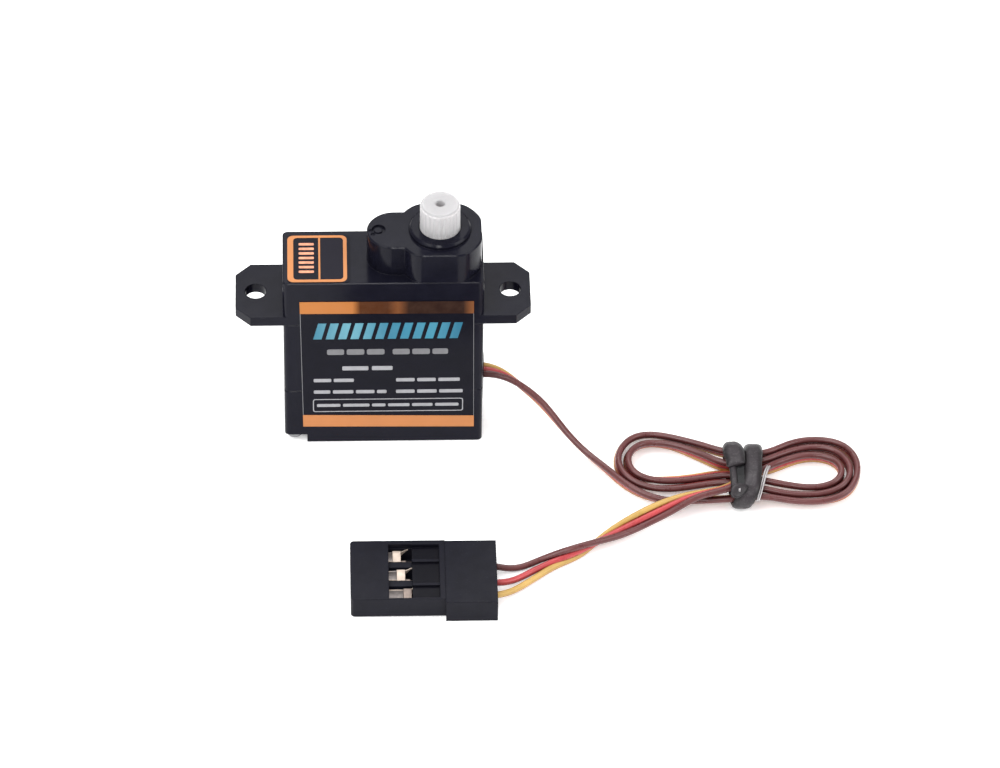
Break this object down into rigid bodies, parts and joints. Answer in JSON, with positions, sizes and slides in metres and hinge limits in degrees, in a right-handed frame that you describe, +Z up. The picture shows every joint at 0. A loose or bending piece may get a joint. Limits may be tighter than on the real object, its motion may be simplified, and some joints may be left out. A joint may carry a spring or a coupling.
{
  "type": "servo motor",
  "caption": "Sub-micro servo motor: black three-part case with mounting ears, splined white output shaft, geared motor inside, and a tied three-wire lead with a plug.",
  "frame": {"origin": "on the case's bottom face, under the middle of the case", "axes": "+Z up along the output shaft, +X from the middle of the case towards the output shaft, -Y out of the label face"},
  "size_m": [0.0623, 0.0327, 0.0289],
  "materials": {
    "case_black": "glossy black moulded plastic",
    "screw_steel": "plated steel screw",
    "label_film": null,
    "white_nylon": "milky white nylon",
    "shaft_steel": "ground steel",
    "pinion_brass": "machined brass",
    "core_iron": "laminated steel",
    "winding_copper": "enamelled copper",
    "can_steel": "plated steel can",
    "magnet_dark": "dark sintered magnet",
    "cap_plastic": "off-white plastic",
    "contact_gold": "plated spring metal",
    "pot_plastic": "dark moulded plastic",
    "tin_plate": "bright tinned wire",
    "board_green": "green solder mask",
    "chip_black": "black moulded package",
    "capacitor_tan": "tan ceramic",
    "wire_brown": "brown insulation",
    "wire_red": "red insulation",
    "wire_orange": "yellow-orange insulation",
    "tie_plastic": "dark grey plastic strip",
    "plug_black": "black moulded plastic"
  },
  "bodies": {
    "servo_body": {"top_cover": "case_black", "middle_case": "case_black", "bottom_cover": "case_black", "case_screws": "screw_steel", "front_label": "label_film", "top_label": "label_film", "gear_axle": "shaft_steel", "motor_can": "can_steel", "motor_magnets": "magnet_dark", "motor_end_cap": "cap_plastic", "motor_brushes": "contact_gold", "motor_terminals": "contact_gold", "motor_bushings": "pinion_brass", "motor_leads": "wire_red", "pot_housing": "pot_plastic", "pot_track": "pot_plastic", "pot_terminals": "tin_plate", "pot_leads": "cap_plastic", "control_board": "board_green", "controller_chip": "chip_black", "driver_chips": "chip_black", "board_capacitors": "capacitor_tan", "board_resistors": "chip_black", "tail_brown": "wire_brown", "tail_red": "wire_red", "tail_orange": "wire_orange", "lead_in": "wire_brown", "cable_hank": "wire_brown", "lead_out": "wire_red", "twist_tie": "tie_plastic", "tie_wire": "tin_plate", "plug_housing": "plug_black", "plug_contacts": "contact_gold"},
    "output": {"output_shaft": "white_nylon", "pot_shaft": "white_nylon", "pot_wiper": "contact_gold"},
    "idler_1": {"gear_1": "white_nylon"},
    "idler_2": {"gear_2": "white_nylon"},
    "idler_3": {"gear_3": "white_nylon"},
    "rotor": {"motor_pinion": "pinion_brass", "motor_shaft": "shaft_steel", "motor_core": "core_iron", "motor_windings": "winding_copper", "commutator": "winding_copper"}
  },
  "joints": [
    {"name": "motor_spin", "type": "hinge", "parent": "servo_body", "child": "rotor", "pos_m": [-0.0025, 0, 0.0169], "axis": [0, 0, 1], "range_deg": [-10532, 10532]},
    {"name": "gear_1_spin", "type": "hinge", "parent": "servo_body", "child": "idler_1", "pos_m": [0.00155, 0, 0.0169], "axis": [0, 0, 1], "range_deg": [-3010, 3010]},
    {"name": "gear_2_spin", "type": "hinge", "parent": "servo_body", "child": "idler_2", "pos_m": [0.0056, 0, 0.018], "axis": [0, 0, 1], "range_deg": [-860, 860]},
    {"name": "gear_3_spin", "type": "hinge", "parent": "servo_body", "child": "idler_3", "pos_m": [0.00155, 0, 0.0193], "axis": [0, 0, 1], "range_deg": [-278.5, 278.5]},
    {"name": "output_spin", "type": "hinge", "parent": "servo_body", "child": "output", "pos_m": [0.0056, 0, 0.0283], "axis": [0, 0, 1], "range_deg": [-90, 90]}
  ],
  "couplings": [
    {"joint": "gear_1_spin", "follows": "motor_spin", "ratio": -0.28571},
    {"joint": "gear_2_spin", "follows": "motor_spin", "ratio": 0.081633},
    {"joint": "gear_3_spin", "follows": "motor_spin", "ratio": -0.026411},
    {"joint": "output_spin", "follows": "motor_spin", "ratio": 0.0085446}
  ]
}
